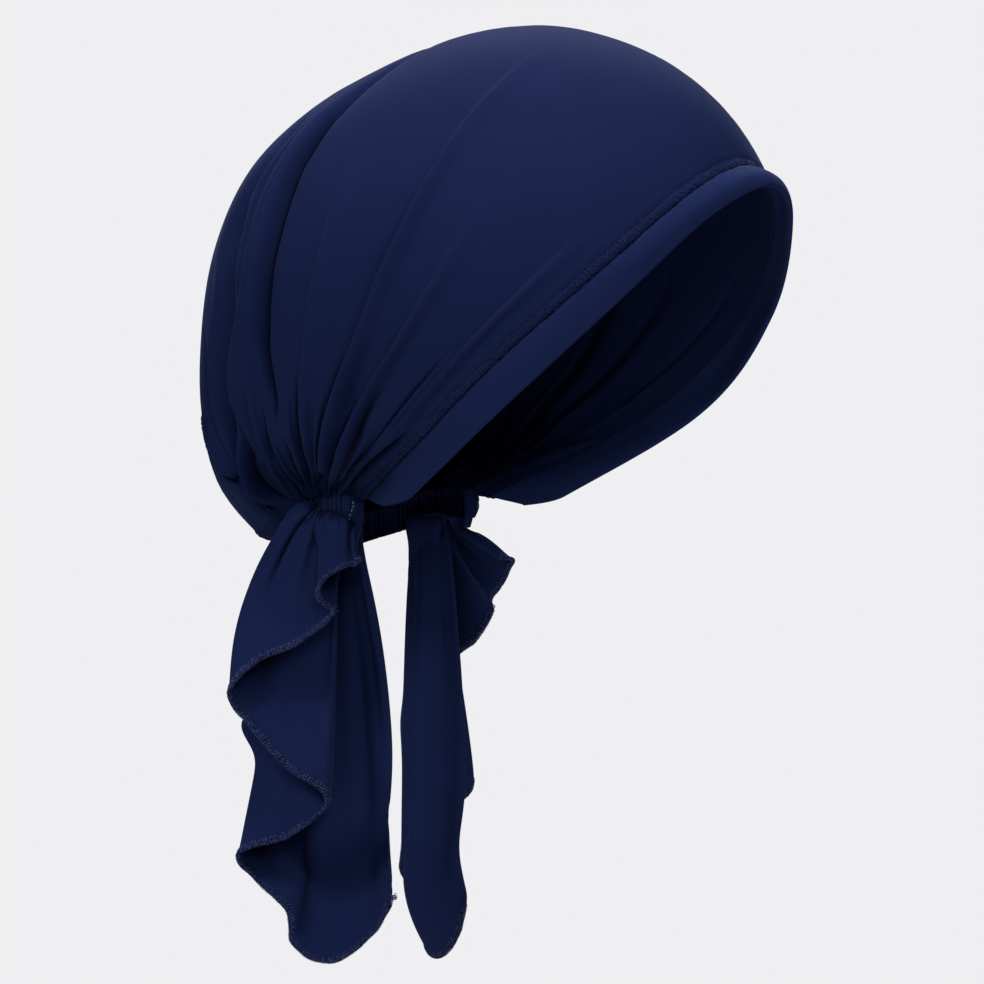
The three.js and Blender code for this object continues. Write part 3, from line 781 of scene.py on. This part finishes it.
def knit_group():
    """Fine jersey: rows of small loops, uneven dye, a little fuzz, and painted shade down in the
    creases.
    """
    group, given, made = new_group(
        "jersey_knit",
        [("Dye", "NodeSocketColor", (0.02, 0.03, 0.1, 1)),
         ("Worn Dye", "NodeSocketColor", (0.03, 0.04, 0.12, 1)),
         ("Wale", "NodeSocketFloat", 0.00062),
         ("Course", "NodeSocketFloat", 0.00048),
         ("Depth", "NodeSocketFloat", 0.000014),
         ("Roughness", "NodeSocketFloat", 0.8)],
        [("Colour", "NodeSocketColor"), ("Roughness", "NodeSocketFloat"),
         ("Normal", "NodeSocketVector")])
    new, link = group.nodes.new, group.links.new
    flat = new("ShaderNodeUVMap")
    flat.uv_map = "UVMap"
    parts = new("ShaderNodeSeparateXYZ")
    link(flat.outputs[0], parts.inputs[0])
    place = new("ShaderNodeTexCoord").outputs["Object"]

    def calc(operation, first, second=None):
        return math_node(group, operation, first, second)

    across = calc("DIVIDE", parts.outputs[0], given.outputs["Wale"])
    down = calc("DIVIDE", parts.outputs[1], given.outputs["Course"])
    wale = calc("ABSOLUTE", calc("SINE", calc("MULTIPLY", across, math.pi)))
    slant = calc("ADD", down, calc("MULTIPLY", wale, 0.5))
    course = calc("SINE", calc("MULTIPLY", slant, 2 * math.pi))
    loops = calc("ADD", wale, calc("MULTIPLY", course, 0.35))
    fuzz = noise(group, place, 1400.0, 3.0)
    height = calc("ADD", loops, calc("MULTIPLY", fuzz, 0.9))

    add_relief(group, 1.0, given.outputs["Depth"], height, made.inputs["Normal"])

    cloud = noise(group, place, 60.0, 4.0)
    speck = noise(group, place, 2200.0, 2.0)
    uneven = calc("ADD", calc("MULTIPLY", cloud, 0.6), calc("MULTIPLY", speck, 0.5))
    dyed = mix_colour(group, uneven, given.outputs["Dye"], given.outputs["Worn Dye"])
    # Painted shade: down in the creases the colour is darkened towards near black, by how hemmed in the
    # surface is.
    hollow = new("ShaderNodeAmbientOcclusion")
    hollow.samples = 8
    hollow.inputs["Distance"].default_value = 0.018
    open_share = new("ShaderNodeMapRange")
    set_inputs(open_share, {"From Min": 0.2, "From Max": 0.85})
    link(hollow.outputs["AO"], open_share.inputs["Value"])
    crease_shade = mix_colour(group, 0.8, dyed, (0.0, 0.0, 0.002, 1))
    link(mix_colour(group, open_share.outputs[0], crease_shade, dyed), made.inputs["Colour"])
    rough = calc("ADD", given.outputs["Roughness"], calc("MULTIPLY", fuzz, 0.12))
    link(rough, made.inputs["Roughness"])
    return group


def thread_group():
    """Twisted sewing thread: fine uneven strands in its relief and its colour."""
    group, given, made = new_group(
        "sewing_thread",
        [("Colour", "NodeSocketColor", (0.05, 0.06, 0.13, 1)),
         ("Lit Colour", "NodeSocketColor", (0.09, 0.1, 0.19, 1)),
         ("Depth", "NodeSocketFloat", 0.00005)],
        [("Colour", "NodeSocketColor"), ("Normal", "NodeSocketVector")])
    new, link = group.nodes.new, group.links.new
    place = new("ShaderNodeTexCoord").outputs["Object"]
    strands = noise(group, place, 1700.0, 2.0)
    add_relief(group, 0.8, given.outputs["Depth"], strands, made.inputs["Normal"])
    lit = new("ShaderNodeMapRange")
    set_inputs(lit, {"From Min": 0.4, "From Max": 0.6})
    link(strands, lit.inputs["Value"])
    link(mix_colour(group, lit.outputs[0], given.outputs["Colour"], given.outputs["Lit Colour"]),
         made.inputs["Colour"])
    return group


def new_material(name):
    material = bpy.data.materials.new(name)
    material.use_nodes = True
    shader = material.node_tree.nodes["Principled BSDF"]
    return material, material.node_tree, shader


def place_group(tree, group, values):
    node = tree.nodes.new("ShaderNodeGroup")
    node.node_tree = group
    set_inputs(node, values)
    return node


def jersey(name, knit, dye, worn):
    material, tree, shader = new_material(name)
    cloth = place_group(tree, knit, {"Dye": (*dye, 1), "Worn Dye": (*worn, 1), "Roughness": 0.8})
    for made, socket in (("Colour", "Base Color"), ("Roughness", "Roughness"), ("Normal", "Normal")):
        tree.links.new(cloth.outputs[made], shader.inputs[socket])
    set_inputs(shader, {"Specular IOR Level": 0.06, "Sheen Weight": 0.14, "Sheen Roughness": 0.3,
                        "Sheen Tint": (0.30, 0.38, 0.72, 1)})
    return material


def thread_material(name, group, colour, lit):
    material, tree, shader = new_material(name)
    yarn = place_group(tree, group, {"Colour": (*colour, 1), "Lit Colour": (*lit, 1)})
    tree.links.new(yarn.outputs["Colour"], shader.inputs["Base Color"])
    tree.links.new(yarn.outputs["Normal"], shader.inputs["Normal"])
    set_inputs(shader, {"Roughness": 0.5, "Specular IOR Level": 0.08, "Sheen Weight": 0.06,
                        "Sheen Tint": (0.35, 0.42, 0.75, 1)})
    return material


def floor_material():
    """Pale floor that looks evenly lit, and gives the cloth no light of its own."""
    material, tree, shader = new_material("pale_floor")
    set_inputs(shader, {"Base Color": (0.8, 0.8, 0.81, 1), "Roughness": 0.9,
                        "Specular IOR Level": 0.1, "Emission Color": (*PALE, 1)})
    seen = tree.nodes.new("ShaderNodeLightPath").outputs["Is Camera Ray"]
    tree.links.new(math_node(tree, "MULTIPLY", seen, 0.62), shader.inputs["Emission Strength"])
    return material


# ---- camera, lights and floor -----------------------------------------------
VIEW_TURN = math.radians(60)  # the camera stands this far round from the face, towards the right
CAMERA_AWAY = 1.5
PICTURE_WIDTH = 0.3393  # metres seen across at the object
LOOK_OFF_CENTRE = (-0.0056, -0.0041, 0.0039)  # the point looked at, from the middle of the frame
PALE = (0.863, 0.863, 0.880)
FLOOR_BELOW = 0.55


def aimed(name, data, target, away):
    """An object that stands at target + away and looks at the target."""
    stand = bpy.data.objects.new(name, data)
    stand.location = target + away
    stand.rotation_euler = (-away).to_track_quat("-Z", "Y").to_euler()
    bpy.context.scene.collection.objects.link(stand)
    return stand


def add_camera(centre):
    towards = Vector((-math.sin(VIEW_TURN), -math.cos(VIEW_TURN), 0))
    target = centre + Vector(LOOK_OFF_CENTRE)
    camera = bpy.data.cameras.new("camera")
    camera.sensor_width = 36
    camera.lens = 36 * CAMERA_AWAY / PICTURE_WIDTH
    camera.clip_end = 100
    bpy.context.scene.camera = aimed("camera", camera, target, towards * CAMERA_AWAY)
    return target, towards


def add_softbox(name, target, away, size, power):
    """A square white light at target + away that looks at the target."""
    lamp = bpy.data.lights.new(name, "AREA")
    lamp.shape = "SQUARE"
    lamp.size = size
    lamp.energy = power
    aimed(name, lamp, target, away)


def add_studio(target, towards, lowest):
    up = Vector((0, 0, 1))
    right = towards.cross(up) * -1
    add_softbox("overhead", target, up * 1.4, 0.6, 9.2)
    add_softbox("key", target, up * 0.8 - right * 1.0 + towards * 0.75, 0.4, 5.4)
    add_softbox("front", target, up * 0.4 + right * 0.1 + towards * 1.4, 0.4, 3.2)
    add_softbox("fill", target, up * 0.9 + right * 0.65 + towards * 0.7, 0.4, 2.7)
    add_softbox("back", target, up * 1.1 - towards * 0.9, 0.5, 8.5)

    world = bpy.data.worlds.new("studio")
    bpy.context.scene.world = world
    world.use_nodes = True
    tree = world.node_tree
    sky = tree.nodes["Background"]
    sky.inputs["Color"].default_value = (*PALE, 1)
    seen = tree.nodes.new("ShaderNodeLightPath").outputs["Is Camera Ray"]
    strength = tree.nodes.new("ShaderNodeMapRange")
    set_inputs(strength, {"To Min": 0.015, "To Max": 1.0})
    tree.links.new(seen, strength.inputs["Value"])
    tree.links.new(strength.outputs[0], sky.inputs["Strength"])

    deselect_all()
    bpy.ops.mesh.primitive_circle_add(vertices=96, radius=2.4, fill_type="NGON",
                                      location=(0, 0, lowest - FLOOR_BELOW))
    floor = bpy.context.active_object
    floor.name = "floor"
    floor.data.materials.append(floor_material())


# ---- the scarf --------------------------------------------------------------
def finish_piece(piece, material):
    piece.data.materials.clear()
    piece.data.materials.append(material)
    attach(piece, "root")


def finish_cloth(piece, node, material):
    """A cloth that stands for a node of the frame: hides the node and finishes the cloth."""
    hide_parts(node)
    finish_piece(piece, material)


def seam_path(crown, height):
    """A line on the crown's face at this height above the hem, short of the gathers."""
    path = [part[6:-6] for part in crown.row_at(height)]
    path[0] = path[0] + path[3] * (CROWN_PLY / 2)
    return path


def hem_stitches(crown, sunk, thread):
    """Two sunken rows of needle stitches above the hem and the thread that crosses between them. The
    stitches' near-black thread is painted shade in their holes.
    """
    dip = [(-0.45, 0, -0.1), (-0.3, 0, 0.04), (0, 0, 0.08), (0.3, 0, 0.04), (0.45, 0, -0.1)]
    pit = thread_bit("hem_pits", dip, [0.12, 0.24, 0.27, 0.24, 0.12])
    rows, sizes = [], []
    rng = np.random.default_rng(8)
    for height, size in ((0.3, 1.05), (STITCH_GAP, 0.7)):
        row = along_path(seam_path(crown, height), STITCH_PITCH)
        count = (len(row[0]), 1)
        row[0] = row[0] + row[2] * rng.normal(0, 0.24, count)
        row[1] = unit(row[1] + row[2] * rng.normal(0, 0.3, count))
        rows.append(row)
        sizes.append(size * (0.75 + 0.5 * rng.random(count[0])))
    frames = [np.vstack(parts) for parts in zip(*rows)]
    pits = stitched_piece("hem_pits", pit, frames, np.concatenate(sizes))
    finish_piece(pits, sunk)

    across = [(-0.5, -1.5, 0), (-0.3, -0.8, 0.12), (0, 0, 0.14), (0.3, 0.8, 0.12), (0.5, 1.5, 0)]
    crossing = thread_bit("hem_zigzag", across, [0.08, 0.14, 0.16, 0.14, 0.08])
    frames = along_path(seam_path(crown, STITCH_GAP / 2 + 0.1), 1.1 * STITCH_PITCH)
    frames[1][::2] *= -1
    frames[2] = unit(frames[2] + frames[1] * rng.normal(0, 0.45, (len(frames[0]), 1)))
    sizes = 0.7 + 0.35 * rng.random(len(frames[0]))
    zigzag = stitched_piece("hem_zigzag", crossing, frames, sizes)
    finish_piece(zigzag, thread)
    return [pits, zigzag]


def overlock(name, surface, thread):
    """Overlock loops round a tail's free edge."""
    edge = [surface.points[-1], surface.along[-1], surface.up[-1], surface.normals[-1]]
    half = TAIL_PLY / 2
    loop = [(-0.7, -OVERLOCK_REACH, half - 0.05), (-0.62, -OVERLOCK_REACH + 0.35, half + 0.16),
            (-0.3, -OVERLOCK_REACH * 0.5, half + 0.15), (0.0, 0.0, half + 0.18), (0.1, 0.45, 0),
            (0.3, 0.0, -half - 0.18), (0.6, -OVERLOCK_REACH * 0.5, -half - 0.15),
            (0.9, -OVERLOCK_REACH, 0.05 - half)]
    bit = thread_bit(name + "_loop", loop, [0.2, 0.26, 0.18, 0.22, 0.25, 0.22, 0.18, 0.24], 4)
    frames = along_path(edge, OVERLOCK_PITCH, 1.0, 1.0)
    rng = np.random.default_rng(5)
    lean = rng.normal(0, 0.12, len(frames[0]))[:, None]
    frames[2] = unit(frames[2] + lean * frames[1])
    loops = stitched_piece(name + "_overlock", bit, frames, 0.92 + 0.14 * rng.random(len(frames[0])))
    finish_piece(loops, thread)
    return loops


def bar_tacks(name, casing, side, thread):
    """A few pale stitches that hold one end of the elastic."""
    tack = thread_bit(name + "_tack", [(0, -0.46, -0.1), (0, -0.3, 0.2), (0, 0.3, 0.2), (0, 0.46, -0.1)],
                      [0.08, 0.15, 0.15, 0.08])
    rows = np.arange(0, 13, 3)
    columns = np.searchsorted(casing.run[0], TACK_INSET + 0.1 * (16 - rows))
    if side < 0:
        columns = casing.points.shape[1] - 1 - columns
    point = casing.points[rows, columns]
    out = unit((point - casing.points.mean((0, 1))) * (1, 1, 0))
    up = np.tile([0.0, 0.0, 1.0], (len(rows), 1))
    lean = unit(up - 0.21 * side * np.cross(out, up))
    frames = [point + out * (CASING_PLY / 2 + 0.15), np.cross(lean, out), lean, out]
    piece = stitched_piece(name + "_bar_tacks", tack, frames)
    finish_piece(piece, thread)
    return piece


def build_scarf(materials):
    crown = build_crown_surface()
    crown_cloth = cloth_piece("crown_cloth", crown, CROWN_PLY)
    finish_cloth(crown_cloth, "crown", materials["crown"])

    hem_cloth = cloth_piece("face_hem_cloth", build_hem_surface(), HEM_PLY)
    stitches = hem_stitches(crown, materials["pit_shade_thread"], materials["thread"])
    finish_cloth(hem_cloth, "face_hem", materials["hem"])

    casing = build_casing_surface()
    casing_cloth = cloth_piece("nape_casing_cloth", casing, CASING_PLY)
    tacks = [bar_tacks(name, casing, TAILS[name]["side"], materials["pale_thread"]) for name in TAILS]
    finish_cloth(casing_cloth, "nape_casing", materials["casing"])

    for name in TAILS:
        surface = build_tail_surface(name)
        tail_cloth = cloth_piece(name + "_tail_cloth", surface, TAIL_PLY)
        loops = overlock(name, surface, materials["edge_thread"])
        finish_cloth(tail_cloth, name + "_tail", materials["tail"])


def main():
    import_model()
    cad_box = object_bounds()
    low, high = (Vector(corner) for corner in cad_box)
    target, towards = add_camera((low + high) / 2)
    add_studio(target, towards, low.z)
    bpy.context.scene.view_settings.view_transform = "Standard"

    knit, yarn = knit_group(), thread_group()
    materials = {
        # The hem, casing and tails are the crown's jersey made lighter: painted light, brightening
        # pieces that catch less light.
        "crown": jersey("navy_jersey", knit, (0.0110, 0.0205, 0.086), (0.0150, 0.0265, 0.104)),
        "hem": jersey("navy_hem_jersey", knit, (0.0142, 0.0262, 0.107), (0.0190, 0.0330, 0.126)),
        "casing": jersey("navy_casing_jersey", knit, (0.0120, 0.0221, 0.091), (0.0161, 0.0279, 0.107)),
        "tail": jersey("navy_tail_jersey", knit, (0.0138, 0.0256, 0.106), (0.0184, 0.0325, 0.125)),
        # Near-black thread for the hem's stitch pits: painted shade of their holes.
        "pit_shade_thread": thread_material("pit_shade_thread", yarn, (0.0004, 0.0006, 0.003),
                                       (0.0016, 0.0026, 0.012)),
        "thread": thread_material("navy_thread", yarn, (0.010, 0.017, 0.075), (0.042, 0.058, 0.19)),
        "edge_thread": thread_material("edge_thread", yarn, (0.007, 0.011, 0.05), (0.10, 0.135, 0.38)),
        "pale_thread": thread_material("pale_thread", yarn, (0.2, 0.23, 0.36), (0.5, 0.54, 0.66)),
    }
    build_scarf(materials)


main()
